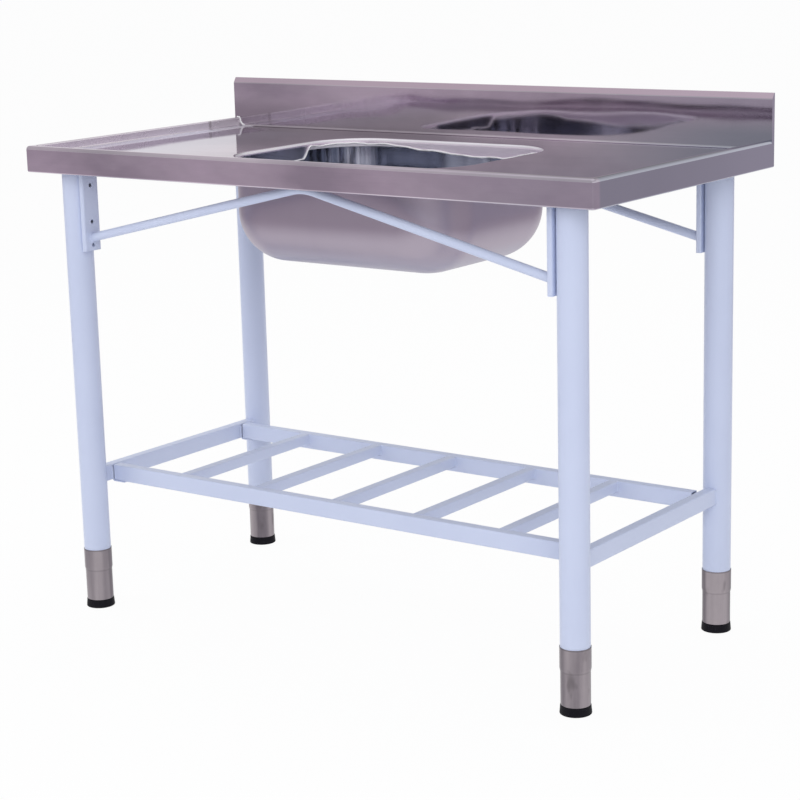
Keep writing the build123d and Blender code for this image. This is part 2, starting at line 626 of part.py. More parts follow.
save(shelf_screws.part, "shelf_screws")
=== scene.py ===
# %% [markdown]
# # A steel kitchen sink on a painted stand
#
# This lesson dresses a finished construction: a folded worktop with a drawn bowl, standing on painted tube
# legs with a slatted shelf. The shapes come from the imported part, in metres. What is added here is the look:
# the camera, the studio, a finish for every piece, and small things such as weld beads and screw threads.

import json
import math
import random

import bmesh
import bpy
from mathutils import Matrix, Vector


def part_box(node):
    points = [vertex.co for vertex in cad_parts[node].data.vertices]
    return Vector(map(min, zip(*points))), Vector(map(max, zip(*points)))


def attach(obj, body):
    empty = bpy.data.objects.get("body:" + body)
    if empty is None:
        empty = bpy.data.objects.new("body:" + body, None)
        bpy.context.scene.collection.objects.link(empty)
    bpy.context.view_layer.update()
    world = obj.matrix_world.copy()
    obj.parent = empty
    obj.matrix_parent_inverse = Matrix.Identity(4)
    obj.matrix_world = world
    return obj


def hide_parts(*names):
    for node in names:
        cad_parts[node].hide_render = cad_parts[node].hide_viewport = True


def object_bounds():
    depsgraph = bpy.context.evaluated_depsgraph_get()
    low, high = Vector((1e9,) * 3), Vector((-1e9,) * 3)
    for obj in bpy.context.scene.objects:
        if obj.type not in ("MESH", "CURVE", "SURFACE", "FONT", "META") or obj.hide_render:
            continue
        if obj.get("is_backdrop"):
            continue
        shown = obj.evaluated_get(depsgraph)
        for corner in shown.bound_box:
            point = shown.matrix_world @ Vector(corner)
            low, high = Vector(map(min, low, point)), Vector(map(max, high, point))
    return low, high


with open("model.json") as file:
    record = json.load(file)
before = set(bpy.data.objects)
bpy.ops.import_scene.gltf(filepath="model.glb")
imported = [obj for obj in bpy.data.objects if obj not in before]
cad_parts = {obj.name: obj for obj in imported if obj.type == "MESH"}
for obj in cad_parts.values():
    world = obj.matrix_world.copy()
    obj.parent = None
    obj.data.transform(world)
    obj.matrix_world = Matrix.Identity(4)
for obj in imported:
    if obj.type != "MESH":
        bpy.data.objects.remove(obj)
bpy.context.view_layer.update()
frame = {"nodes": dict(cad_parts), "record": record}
nodes = frame["nodes"]

# %% [markdown]
# ## The camera
#
# The photograph was taken with a long lens from the front right, a little above the rim and tilted by about a
# degree and a half. A camera can be placed by eye, but then every later comparison is off by a few pixels.
# Here its place, its angles and its lens were solved from the corners of the worktop and the feet, so the
# render lies over the photograph.


# %% Stand the camera where the photograph was taken
def in_scene(name, data):
    """Makes an object of a mesh, a curve, a lamp or a camera, and puts it in the scene."""
    made = bpy.data.objects.new(name, data)
    bpy.context.scene.collection.objects.link(made)
    return made


camera_place = Vector((2.215946, -3.007431, 1.262224))
azimuth = math.radians(36.2513)
elevation = math.radians(12.8482)
roll = math.radians(-1.4932)
forward = Vector((
    -math.sin(azimuth) * math.cos(elevation),
    math.cos(azimuth) * math.cos(elevation),
    -math.sin(elevation),
))
level_right = Vector((math.cos(azimuth), math.sin(azimuth), 0))
level_up = level_right.cross(forward)
camera_right = level_right * math.cos(roll) + level_up * math.sin(roll)
camera_up = level_up * math.cos(roll) - level_right * math.sin(roll)

lens = bpy.data.cameras.new("photo_camera")
lens.sensor_width = 36
lens.lens = 95.05
camera = in_scene("photo_camera", lens)
camera_turn = Matrix((camera_right, camera_up, -forward)).transposed().to_4x4()
camera.matrix_world = Matrix.Translation(camera_place) @ camera_turn
bpy.context.scene.camera = camera
print("camera at", tuple(round(x, 3) for x in camera.matrix_world.translation))

# %% [markdown]
# ## Shader maths in plain Python
#
# Every finish below is built from nodes. Wiring them one by one is slow to read, so one small class wraps a
# socket: adding or multiplying two wrapped sockets makes the Math node, and one method makes any other node.


# %% A wrapped socket
class Wire:
    """One socket of a node tree, on which Python's arithmetic makes Math nodes."""

    def __init__(self, tree, socket=None):
        self.tree = tree
        self.socket = socket

    def node(self, kind, settings=None, values=None, output=0):
        """Makes a node, sets its settings first, then the values or links of its sockets."""
        made = self.tree.nodes.new(kind)
        for name, value in (settings or {}).items():
            if name == "stops":
                elements = made.color_ramp.elements
                while len(elements) < len(value):
                    elements.new(1.0)
                for stop, (position, shade) in zip(elements, value):
                    stop.position = position
                    stop.color = (shade, shade, shade, 1)
            else:
                setattr(made, name, value)
        for name, value in (values or {}).items():
            if isinstance(value, Wire):
                self.tree.links.new(value.socket, made.inputs[name])
            else:
                made.inputs[name].default_value = value
        return Wire(self.tree, made.outputs[output] if made.outputs else None)

    def maths(self, operation, first, second):
        """Makes one Math node of two wires or numbers."""
        return self.node("ShaderNodeMath", {"operation": operation}, {0: first, 1: second})

    def parts(self):
        """The parts of a vector along X, Y and Z, as three wires."""
        outputs = self.node("ShaderNodeSeparateXYZ", values={0: self}).socket.node.outputs
        return [Wire(self.tree, socket) for socket in outputs]

    def __add__(self, other):
        return self.maths("ADD", self, other)

    def __radd__(self, other):
        return self.maths("ADD", other, self)

    def __sub__(self, other):
        return self.maths("SUBTRACT", self, other)

    def __rsub__(self, other):
        return self.maths("SUBTRACT", other, self)

    def __mul__(self, other):
        return self.maths("MULTIPLY", self, other)

    def __rmul__(self, other):
        return self.maths("MULTIPLY", other, self)


print("shader maths ready")

# %% [markdown]
# ## A white studio
#
# The object stands on white paper with broad soft light and almost no shadow. More light would wash out the
# pale paint, so the white comes from what the camera and the metal see of the world and the floor, and the
# lamps stay at a plain level. Polished metal has no colour of its own to speak of, so what it mirrors decides
# how it looks, and in an all-white room it turns to plain card. Photographers therefore put pale grey cards
# round it, outside the picture. Here the cards are a grey share of the world and of the floor that only
# mirrored rays meet: the deck mirrors a grey card on the wall behind, and the aprons one on the floor.


# %% Helpers for the studio
def blank_tree(owner):
    """Empties the node tree of a world or a material, and gives a wire to start from."""
    owner.use_nodes = True
    owner.node_tree.nodes.clear()
    return Wire(owner.node_tree)


def seen_directly(start):
    """One where a ray comes from the camera, or from a mirror or glass, and nought for the rest."""
    camera_ray = start.node("ShaderNodeLightPath", output="Is Camera Ray")
    glossy_ray = start.node("ShaderNodeLightPath", output="Is Glossy Ray")
    clear_ray = start.node("ShaderNodeLightPath", output="Is Transmission Ray")
    either = start.maths("MAXIMUM", camera_ray, glossy_ray)
    return start.maths("MAXIMUM", either, clear_ray)


def eased(wire, start, end, low, high):
    """Runs smoothly from low to high while the wire goes from start to end."""
    return wire.node(
        "ShaderNodeMapRange", {"interpolation_type": "SMOOTHSTEP"},
        {"Value": wire, "From Min": start, "From Max": end, "To Min": low, "To Max": high})


def mixed(mask, first, second):
    """Two shaders mixed by a mask: the first where it is nought, and the second where it is one."""
    return mask.node("ShaderNodeMixShader", values={0: mask, 1: first, 2: second})


print("studio helpers ready")

# %% The world: white to look at, softer as a light
light_strength = 0.58
world = bpy.data.worlds.new("white_studio")
bpy.context.scene.world = world
sky = blank_tree(world)
look_x, look_y, look_z = sky.node("ShaderNodeTexCoord", output="Generated").parts()
wall_behind = eased(look_x, -0.46, -0.70, 0.31, 1.0) + eased(look_x, -0.15, 0.30, 0.0, 0.60)
wall_in_front = eased(look_x, 0.0, 0.4, 0.62, 1.0)
behind = eased(look_y, -0.3, 0.3, 0.0, 1.0)
walls = wall_behind * behind + wall_in_front * (1 - behind)
ceiling = eased(look_z, 0.70, 0.92, 0.66, 0.95)
overhead = eased(look_z, 0.28, 0.60, 0.0, 1.0)
room = ceiling * overhead + walls * (1 - overhead)
over_skyline = eased(look_z, 0.0, 0.04, 0.0, 1.0)
carded = room * over_skyline + (1 - over_skyline)
mirrored = sky.node("ShaderNodeLightPath", output="Is Glossy Ray")
seen_strength = carded * mirrored + (1 - mirrored)
seen_sky = sky.node("ShaderNodeBackground", values={"Color": (1, 1, 1, 1), "Strength": seen_strength})
lit_sky = sky.node("ShaderNodeBackground", values={"Color": (0.94, 0.95, 1, 1), "Strength": light_strength})
sky.node("ShaderNodeOutputWorld", values={"Surface": mixed(seen_directly(sky), lit_sky, seen_sky)})
print("world", world.name)

# %% [markdown]
# ### The floor
#
# The floor is one wide plain white sheet. For mirrored rays, a strip of it stays white, which runs from in
# front of the object to far behind it and widens on the way. Beside the strip it falls off softly to a pale
# warm grey, and this is what the upright faces of the steel mirror. From below the floor is clear, so that
# the underside of the object can be looked at.

# %% A wide sheet just under the feet
floor_half = 30
floor_drop = 0.0005
floor_shape = bmesh.new()
bmesh.ops.create_grid(floor_shape, x_segments=1, y_segments=1, size=floor_half)
floor_mesh = bpy.data.meshes.new("studio_floor")
floor_shape.to_mesh(floor_mesh)
floor_shape.free()
floor = in_scene("studio_floor", floor_mesh)
floor.location.z = -floor_drop
floor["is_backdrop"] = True
print("floor", floor.name, "of", 2 * floor_half, "m")


# %% Its paper: white to look at, with a faint shadow and a grey card for mirrored rays
def tint(mask, under, top):
    """The first colour where a mask is nought and the second where it is one, each of numbers or a wire."""
    below, above = [colour if isinstance(colour, Wire) else (*colour, 1) for colour in (under, top)]
    return mask.node("ShaderNodeMix", {"data_type": "RGBA"}, {0: mask, 6: below, 7: above}, output=2)


card_grey = (0.490, 0.437, 0.490)
strip_angle = math.radians(36.25)
strip_widening = 0.26
glow_share = 0.96
floor_paper = bpy.data.materials.new("studio_paper")
paper = blank_tree(floor_paper)
floor_x, floor_y, _ = paper.node("ShaderNodeTexCoord", output="Object").parts()
across_strip = floor_x * math.cos(strip_angle) + floor_y * math.sin(strip_angle)
along_strip = floor_y * math.cos(strip_angle) - floor_x * math.sin(strip_angle)
beside_strip = paper.maths("ABSOLUTE", across_strip, 0) - along_strip * strip_widening
mirrored = paper.node("ShaderNodeLightPath", output="Is Glossy Ray")
paper_colour = tint(eased(beside_strip, 1.0, 2.6, 0.0, 1.0) * mirrored, (1, 1, 1), card_grey)
glow = paper.node("ShaderNodeEmission", values={"Color": paper_colour, "Strength": 1.0})
matt = paper.node("ShaderNodeBsdfDiffuse", values={"Color": (0.86, 0.86, 0.87, 1)})
from_above = mixed(seen_directly(paper) * glow_share, matt, glow)
from_below = paper.node("ShaderNodeBsdfTransparent")
below_floor = paper.node("ShaderNodeNewGeometry", output="Backfacing")
paper.node("ShaderNodeOutputMaterial", values={"Surface": mixed(below_floor, from_above, from_below)})
floor_mesh.materials.append(floor_paper)
print("paper", floor_paper.name)

# %% [markdown]
# ### The lamps
#
# A product like this is lit by soft boxes, wide sheets of cloth with a flash behind them. A point lamp would
# give hard shadows and hot spots, so area lamps of three to four metres do the work here: two in front and
# one overhead. The steel mirrors the room with its cards, and not the lamps.


# %% Two soft boxes in front and one overhead
def soft_box(name, place, target, width, height, watts):
    """A rectangular area lamp that faces a target and isn't seen in mirrors."""
    lamp = bpy.data.lights.new(name, "AREA")
    lamp.shape = "RECTANGLE"
    lamp.size = width
    lamp.size_y = height
    lamp.energy = watts
    made = in_scene(name, lamp)
    made.visible_glossy = False
    aim = Vector(target) - Vector(place)
    made.matrix_world = Matrix.Translation(place) @ aim.to_track_quat("-Z", "Y").to_matrix().to_4x4()


soft_box("front_right_box", (3.4, -3.9, 3.0), (0, 0, 0.6), 4.0, 3.4, 88)
soft_box("front_left_box", (-3.6, -3.2, 2.8), (0, 0, 0.6), 3.4, 3.0, 46)
soft_box("overhead_box", (-0.6, 0.6, 4.4), (0, 0, 0.8), 4.0, 2.6, 58)

# %% [markdown]
# ## Finishes
#
# All patterns read Object coordinates, so they stay fixed to the metal at every pose and scale. Numbers that
# are the same all over a surface are set on the shader itself; only what changes over it is wired. Each
# finish starts with the same few moves, and these come first as helpers.


# %% Helpers shared by the finishes
def new_finish(name, metallic=0.0):
    """A material with its shader and a wire that gives the Object coordinates."""
    made = bpy.data.materials.new(name)
    made.use_nodes = True
    shader = made.node_tree.nodes["Principled BSDF"]
    shader.inputs["Metallic"].default_value = metallic
    place = Wire(made.node_tree).node("ShaderNodeTexCoord", output="Object")
    return made, shader, place


def feed(shader, socket, wire):
    """Links a wire to one of the shader's sockets."""
    wire.tree.links.new(wire.socket, shader.inputs[socket])


def stretched(place, scale):
    """Coordinates scaled by a different amount along each axis."""
    return place.node("ShaderNodeMapping", values={"Vector": place, "Scale": scale})


def noise(place, scale, detail=3.0, roughness=0.55):
    """Soft noise between nought and one."""
    return place.node("ShaderNodeTexNoise", values={
        "Vector": place, "Scale": scale, "Detail": detail, "Roughness": roughness})


def ramp(wire, *stops):
    """A grey ramp through (position, shade) stops."""
    return wire.node("ShaderNodeValToRGB", {"stops": stops}, {"Fac": wire})


def bump(shader, height, strength, distance):
    """Raises the surface by a wired height."""
    feed(shader, "Normal", height.node("ShaderNodeBump", values={
        "Height": height, "Strength": strength, "Distance": distance}))


print("finish helpers ready")

# %% [markdown]
# ### The weld in the mouth
#
# A short collar hangs down from the deck into the mouth of the bowl, and the bowl's wall is welded to it. The
# grinder that cleaned the weld went over the metal above it as well, so that is dull and pale down to the
# weld, and a mirror below it. The line isn't level: on the rear wall it falls from left to right, at the
# right it rises again, and on the left wall it dips once. Past the dip the collar is polished, and its
# colour there is painted dark as a painted reflection.
# Collar, bowl and bead all follow this line, so its course is given once, in metres, for all three.

# %% Where the weld runs
weld_high = 0.850
weld_low = 0.833
weld_start = -0.22
weld_end = 0.10
rise_height = 0.013
rise_start = 0.105
rise_end = 0.190
dip_depth = 0.021
dip_start = 0.090
dip_end = 0.066
left_corner = -0.240
left_wall = -0.246
weld_edge = 0.001


def past_dip(place):
    """One on the left wall of the mouth in front of the place where the weld dips."""
    along_x, along_y, _ = place.parts()
    return eased(along_x, left_corner, left_wall, 0, 1) * eased(along_y, dip_start, dip_end, 0, 1)


def above_weld(place):
    """One above the weld in the mouth and nought below it."""
    along_x, _, height = place.parts()
    weld_height = eased(along_x, weld_start, weld_end, weld_high, weld_low)
    weld_height = weld_height + eased(along_x, rise_start, rise_end, 0, rise_height)
    weld_height = weld_height - past_dip(place) * dip_depth
    return eased(height - weld_height, -weld_edge, weld_edge, 0, 1)


print("weld from", weld_high, "to", weld_low)

# %% The two skins beside the weld
# A painted dark reflection: this colour darkens the polished collar past the dip and the bowl's left wall,
# standing in for what they mirror, and the share says how much of it is laid on.
painted_dark_reflection = (0.30, 0.33, 0.42)
dark_reflection_share = 0.85


def ground_skin(place):
    """The colour of the ground metal above the weld, in soft streaks along it."""
    streaks = noise(stretched(place, (11, 11, 70)), 1.0, detail=3)
    return tint(streaks, (0.66, 0.54, 0.68), (1.0, 0.92, 1.0))


print("dark polish", painted_dark_reflection)

# %% [markdown]
# ### Worktop steel
#
# The sheet is bright satin stainless steel. It mirrors what is near it quite clearly, such as the bowl's
# mouth in the upstand. One node holds the whole folded sheet, and its parts are treated differently: the
# collar in the mouth was ground, the inner faces of the end rims are painted pale as a painted highlight, and
# the rest was left as it came. They could be told apart by painting a map by hand. Here masks do it, from
# where a point lies and which way it faces, so they stay sharp at any distance and need no picture.

# %% Where a point lies on the folded sheet
worktop_steel, shader, place = new_finish("worktop_steel", metallic=1.0)
mouth_middle = (-0.004, 0.006, 0.0)
# each pair is where a mask starts to fade and where it ends, the first three in squares of a distance
mouth_length = (0.066, 0.068)
mouth_width = (0.044, 0.046)
worktop_end = (0.336, 0.342)
deck_height = (0.860, 0.864)
upstand_start = (0.88, 0.91)
from_mouth = place.node("ShaderNodeVectorMath", {"operation": "SUBTRACT"}, {0: place, 1: mouth_middle})
from_x, from_y, height = from_mouth.parts()
sideways, backward, upward = place.node("ShaderNodeNewGeometry", output="Normal").parts()
outward = sideways * from_x + backward * from_y
over_mouth = eased(from_x * from_x, *mouth_length, 1, 0) * eased(from_y * from_y, *mouth_width, 1, 0)
in_mouth = over_mouth * eased(outward, 0.002, 0.020, 1, 0) * eased(upward, -0.4, -0.2, 0, 1)
at_end = eased(from_x * from_x, *worktop_end, 0, 1)
on_deck = eased(upward, 0.6, 0.9, 0, 1) * eased(height, *deck_height, 1, 0)
on_upstand = eased(height, *upstand_start, 0, 1)
print(worktop_steel.name, "round the mouth at", mouth_middle)

# %% The rims' painted highlight, with a painted shade by the upstand corner
# Pale paint on the rims' inner faces is a painted highlight, and on the strip beside the left rim a painted
# reflection.
rim_inside = at_end * eased(sideways * from_x, -0.15, -0.40, 0, 1)
beside_rim_reflection = on_deck * eased(from_x, -0.541, -0.556, 0, 0.8)
rim_highlight = place.maths("MAXIMUM", rim_inside, beside_rim_reflection)
rim_far = rim_highlight * eased(from_y, -0.10, 0.15, 0, 1)
# A darker patch with a sharp edge at the back of the rims: painted shade by the upstand corner.
corner_shade = rim_highlight * eased(from_y, 0.190, 0.196, 0, 1)
corner_shade_edge = rim_highlight * eased(from_y, 0.186, 0.189, 0, 1) * eased(from_y, 0.194, 0.197, 1, 0)
print("rims masked")

# %% [markdown]
# The sheet has a fine grain along its length. The ends are folded down from the same sheet, and there the
# grain stands upright. Very long thin noise makes the grain, slow noise adds the faint clouds that wiping
# leaves, and a slower one bends the sheet by fractions of a degree, so that reflections swim as they do on
# thin metal. Most of the grain is left off the rims and the strip beside the left one, under their painted
# highlight.

# %% Grain, clouds, smears and swell
end_mask = ramp(sideways * sideways, (0.45, 0), (0.6, 1))
long_grain = noise(stretched(place, (3, 900, 900)), 1.0, detail=2)
end_grain = noise(stretched(place, (900, 900, 3)), 1.0, detail=2)
grain = end_grain * end_mask + long_grain * (1 - end_mask)
grain = grain * (1 - rim_highlight * 0.9)
clouds = noise(stretched(place, (1.0, 2.2, 2.2)), 3.2, detail=4)
swell = noise(stretched(place, (1.0, 1.0, 2.4)), 4.5, detail=1)
smears = ramp(noise(stretched(place, (5, 14, 14)), 1.0, detail=5, roughness=0.6), (0.45, 0), (0.75, 1))
patches = ramp(clouds, (0.36, 0), (0.64, 1)) * 0.8 + grain * 0.2
sheet = tint(patches, (0.430, 0.380, 0.445), (0.705, 0.610, 0.702))
sheet = tint(smears * 0.4, sheet, (0.69, 0.65, 0.69))
print("sheet with grain")

# %% [markdown]
# Light and shade are also painted into the sheet's colour, laid by place. It turns darker and cooler towards
# the right end as painted shade, and the right end face is paler towards the back as a painted reflection.
# The left of the deck is cooler. The top of the upstand is pinker as a painted highlight, its foot at the
# left and the strip of deck before it are darker as painted shade, and the front rim has a paler back as a
# painted highlight.

# %% Painted light and shade, and a cooler left, across the sheet
front_edge = eased(from_y, -0.286, -0.294, 0, 1)
right_end_shade = eased(from_x, 0.14, 0.56, 0, 1) * (0.95 - on_upstand * 0.4) * (1 - front_edge * 0.7)
end_back_reflection = eased(sideways, 0.6, 0.9, 0, 1) * eased(from_y, -0.15, 0.30, 0, 0.35)
deck_left = on_deck * eased(from_x, -0.25, -0.45, 0, 0.7)
upstand_top_highlight = eased(upward, 0.3, 0.5, 0, 0.8) * eased(height, 0.930, 0.940, 0, 1)
back_strip = on_deck * eased(from_y, 0.185, 0.245, 0, 1)
upstand_foot = eased(from_y, 0.270, 0.280, 0, 1) * eased(height, 0.925, 0.885, 0, 0.65)
back_left_shade = (back_strip * 0.9 + upstand_foot) * eased(from_x, 0.10, -0.20, 0, 1)
front_rim_highlight = eased(backward, 0.3, 0.6, 0, 1) * eased(from_y, -0.284, -0.289, 0, 1)
# Painted shade at the right end, a painted reflection on the right end face, a cooler left of the deck,
# painted highlight on the upstand's top, painted shade at the back left, painted highlight on the front rim.
sheet = tint(right_end_shade, sheet, (0.400, 0.415, 0.485))
sheet = tint(end_back_reflection, sheet, (0.60, 0.62, 0.72))
sheet = tint(deck_left, sheet, (0.44, 0.45, 0.565))
sheet = tint(upstand_top_highlight, sheet, (0.62, 0.480, 0.585))
sheet = tint(back_left_shade, sheet, (0.350, 0.308, 0.352))
sheet = tint(front_rim_highlight * 0.6, sheet, (0.64, 0.59, 0.66))
print("sheet with shades")

# %% [markdown]
# Inside the mouth the collar takes the two skins of the weld, and the bend above it carries a thin painted
# highlight. The inner faces of the end rims are painted pale and made dull as a painted highlight, and a
# narrow strip of deck beside the left one is painted pale blue as a painted reflection. At the back of the
# rims a darker patch with a sharp edge is painted shade by the upstand corner.

# %% The mouth and the rims
mouth_wall = in_mouth * eased(height, 0.853, 0.856, 1, 0) * above_weld(place)
# Past the dip the collar takes the painted dark reflection instead of the ground skin.
dark_reflection_wall = mouth_wall * past_dip(place) * dark_reflection_share
collar = mouth_wall - dark_reflection_wall
# The thin bright line along the bend into the mouth is a painted highlight, and it is also made dull.
lip_highlight = in_mouth * eased(height, 0.8588, 0.8575, 0, 1) * (1 - mouth_wall)
# Painted colours follow: dark reflection past the dip, highlight on the bend and on the rims, reflection on
# the strip, shade at the back corner; the collar takes the ground skin.
sheet = tint(dark_reflection_wall, sheet, painted_dark_reflection)
sheet = tint(lip_highlight * 0.7, sheet, (0.95, 0.93, 0.98))
sheet = tint(rim_highlight * 0.9, sheet, (0.92, 0.86, 0.92))
sheet = tint(beside_rim_reflection * 0.9, sheet, (0.79, 0.79, 0.89))
sheet = tint(corner_shade * 0.6, sheet, (0.64, 0.59, 0.63))
sheet = tint(corner_shade_edge * 0.7, sheet, (0.30, 0.27, 0.28))
sheet = tint(collar * 0.95, sheet, ground_skin(place))
print("sheet with ground places")

# %% Colour, shine and bend of the sheet
dulling = 0.30
feed(shader, "Base Color", sheet)
# The bend into the mouth and the rims are made dull so that their painted highlight shows from every side; the
# collar is dull because it was ground.
feed(shader, "Metallic", 1 - collar * 0.40 - rim_highlight * 0.35 - rim_far * 0.30 - lip_highlight * 0.35)
dulling_collar_rims_bend = collar * dulling + rim_highlight * dulling + lip_highlight * dulling
feed(shader, "Roughness", 0.03 + clouds * 0.02 + grain * 0.03 + smears * 0.04 + dulling_collar_rims_bend)
shader.inputs["Specular Tint"].default_value = (0.86, 0.83, 0.86, 1)
bump(shader, swell + grain * 0.003, 0.22, 0.004)
print(worktop_steel.name, "finished")

# %% [markdown]
# ### Bowl steel
#
# The bowl is drawn from one sheet. Inside it is polished almost to a mirror, with upright stripes of painted
# highlight and painted shade in its colour, and its left wall is painted dark as a painted reflection. Above
# the weld it is ground like the collar. The outside keeps the satin skin of the press and turns cooler
# towards the bottom. One solid holds both sides, so a mask tells them apart: where the surface faces away
# from the middle of the bowl it is the outside.

# %% Where a point lies on the bowl
bowl_low, bowl_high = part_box("bowl")
bowl_middle = (bowl_low + bowl_high) / 2
bowl_steel, shader, place = new_finish("bowl_steel", metallic=1.0)
facing = place.node("ShaderNodeNewGeometry", output="Normal")
arm = place.node("ShaderNodeVectorMath", {"operation": "SUBTRACT"}, {0: place, 1: tuple(bowl_middle)})
outward = place.node(
    "ShaderNodeVectorMath", {"operation": "DOT_PRODUCT"}, {0: arm, 1: facing}, output="Value")
outside = ramp(outward * 40 + 0.5, (0.3, 0), (0.7, 1))
inside = place.maths("LESS_THAN", outward, 0.0)
sideways, _, upward = facing.parts()
_, _, height = place.parts()
on_floor = eased(upward, 0.25, 0.80, 0, 1)
# The left wall of the bowl is painted dark, as a painted reflection.
dark_reflection_left_wall = eased(sideways, 0.70, 0.97, 0, dark_reflection_share)
near_bottom = eased(height, 0.715, 0.680, 0, 0.5)
ground = above_weld(place) * (1 - outside) * (1 - past_dip(place) * dark_reflection_share)
print(bowl_steel.name, "centre", tuple(round(x, 3) for x in bowl_middle))

# %% Polished inside and satin outside
clouds = noise(place, 7.0, detail=4)
# Upright stripes of painted highlight and painted shade for the polished walls; the clouds mixed in with them
# are random tone.
painted_light_bars = ramp(noise(stretched(place, (18, 18, 0.8)), 1.0, detail=1), (0.40, 0), (0.60, 1))
polish = (painted_light_bars * 0.7 + clouds * 0.3) * (1 - on_floor) + (0.45 + clouds * 0.2) * on_floor
inner_skin = tint(polish, (0.47, 0.48, 0.55), (0.92, 0.92, 0.97))
inner_skin = tint(dark_reflection_left_wall, inner_skin, painted_dark_reflection)
inner_skin = tint(ground, inner_skin, ground_skin(place))
draw_marks = noise(stretched(place, (24, 24, 3)), 1.0, detail=1)
bands = noise(stretched(place, (2.5, 2.5, 18)), 1.0, detail=1)
satin = clouds * 0.4 + bands * 0.4 + draw_marks * 0.2
outer_skin = tint(satin, (0.390, 0.335, 0.408), (0.485, 0.430, 0.508))
outer_skin = tint(near_bottom, outer_skin, (0.40, 0.395, 0.50))
ripples = noise(stretched(place, (9, 9, 1.5)), 1.0, detail=1)
feed(shader, "Base Color", tint(outside, inner_skin, outer_skin))
feed(shader, "Metallic", 1 - ground * 0.40)
feed(shader, "Roughness", 0.08 + clouds * 0.03 + ground * 0.29 + outside * (0.25 + bands * 0.05))
bump(shader, ripples * inside, 0.20, 0.0040)
print(bowl_steel.name, "finished")

# %% [markdown]
# ### Painted frame
#
# Legs, brackets, braces and the shelf share one powder coat: a pale, slightly lavender white with a soft
# gloss and a fine orange-peel skin. A plain colour would look like plastic, so slow noise makes the coat a
# little deeper where it is thick, and very fine noise raises the peel.

# %% Pale powder coat
painted_frame, shader, place = new_finish("painted_frame")
peel = noise(place, 420.0, detail=2)
drift = noise(place, 5.0, detail=3)
feed(shader, "Base Color", tint(drift, (0.600, 0.660, 0.850), (0.685, 0.745, 0.925)))
feed(shader, "Roughness", 0.27 + drift * 0.1)
bump(shader, peel, 0.10, 0.0004)
print(painted_frame.name)

# %% [markdown]
# ### Foot sleeves
#
# The sleeves at the leg ends are bare rolled steel with a mottled, handled skin: blotches and a few dark
# dents, with broad upright stripes of painted highlight and painted shade laid over them. Where the sleeve is
# belled out over the leg, a thin dark ring of painted shade sits in the crimped step, and its upper edge is
# painted dark as shade too. Both are rings at a known height, so masks on the height draw them.

# %% Mottled sleeve steel
sleeve_steel, shader, place = new_finish("sleeve_steel", metallic=1.0)
blotch = noise(stretched(place, (1, 1, 0.45)), 90.0, detail=5, roughness=0.62)
streaks = noise(stretched(place, (220, 220, 9)), 1.0, detail=3)
# Broad upright stripes of painted highlight and painted shade, standing in for what a round sleeve mirrors.
painted_light_bars = ramp(noise(stretched(place, (36, 36, 1.5)), 1.0, detail=1), (0.38, 0), (0.62, 1))
dents = ramp(noise(stretched(place, (1, 1, 0.5)), 42.0, detail=2), (0.60, 0), (0.74, 1))
bell_drop = 0.004
sleeve_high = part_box("foot_sleeve_front_left")[1]
bell_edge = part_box("leg_front_left")[0].z - bell_drop
_, _, height = place.parts()
# A thin ring of painted shade in the step below the bell, and another at the sleeve's upper edge.
crimp_top = eased(height, bell_edge, bell_edge + 0.0018, 1, 0)
crimp_ring_shade = eased(height, bell_edge - 0.0030, bell_edge - 0.0012, 0, 1) * crimp_top
sleeve_top_shade = eased(height, sleeve_high.z - 0.0028, sleeve_high.z - 0.0012, 0, 1)
mottle_and_light_bars = painted_light_bars * 0.6 + blotch * 0.2 + streaks * 0.2
rolled = tint(mottle_and_light_bars, (0.105, 0.090, 0.112), (0.440, 0.392, 0.418))
rolled = tint(crimp_ring_shade * 0.22 + sleeve_top_shade * 0.45, rolled, (0.10, 0.09, 0.10))
feed(shader, "Base Color", tint(dents * 0.55, rolled, (0.13, 0.115, 0.125)))
feed(shader, "Roughness", 0.30 + blotch * 0.12 + dents * 0.1)
bump(shader, streaks, 0.08, 0.0004)
print(sleeve_steel.name)

# %% [markdown]
# ### Black feet and their inserts
#
# The feet are black moulded plastic with a fine grain and dull scuffs, and the inserts they screw into are
# nylon. Black plastic in a white room easily looks grey, because it mirrors the room, so the feet get little
# gloss and an almost black colour.

# %% Black moulded plastic and nylon
foot_plastic, shader, place = new_finish("foot_plastic")
pores = noise(place, 900.0, detail=2)
scuffs = noise(place, 60.0, detail=4)
feed(shader, "Base Color", tint(scuffs, (0.005, 0.005, 0.008), (0.015, 0.014, 0.018)))
feed(shader, "Roughness", 0.45 + scuffs * 0.2)
shader.inputs["Specular IOR Level"].default_value = 0.08
bump(shader, pores, 0.15, 0.0003)

insert_nylon, shader, place = new_finish("insert_nylon")
pores = noise(place, 700.0, detail=2)
feed(shader, "Base Color", tint(pores, (0.03, 0.03, 0.032), (0.06, 0.06, 0.064)))
feed(shader, "Roughness", 0.42 + pores * 0.16)
print(foot_plastic.name, insert_nylon.name)

# %% [markdown]
# ### Zinc and weld metal
#
# The channels under the deck are galvanised, with the flat crystals that zinc grows. A texture of cells, each
# with its own shade, gives these better than soft noise. Bolts, nuts, screws and stems are bright zinc plate
# with a faint haze. Weld metal is almost white where the grinder touched it and dark where heat stained it.

# %% Galvanised sheet and zinc plate
galvanised_steel, shader, place = new_finish("galvanised_steel", metallic=1.0)
crystal = place.node("ShaderNodeTexVoronoi", values={"Vector": place, "Scale": 90.0}, output="Color")
spangle, _, _ = crystal.parts()
feed(shader, "Base Color", tint(spangle, (0.40, 0.41, 0.42), (0.56, 0.57, 0.58)))
feed(shader, "Roughness", 0.34 + spangle * 0.16)

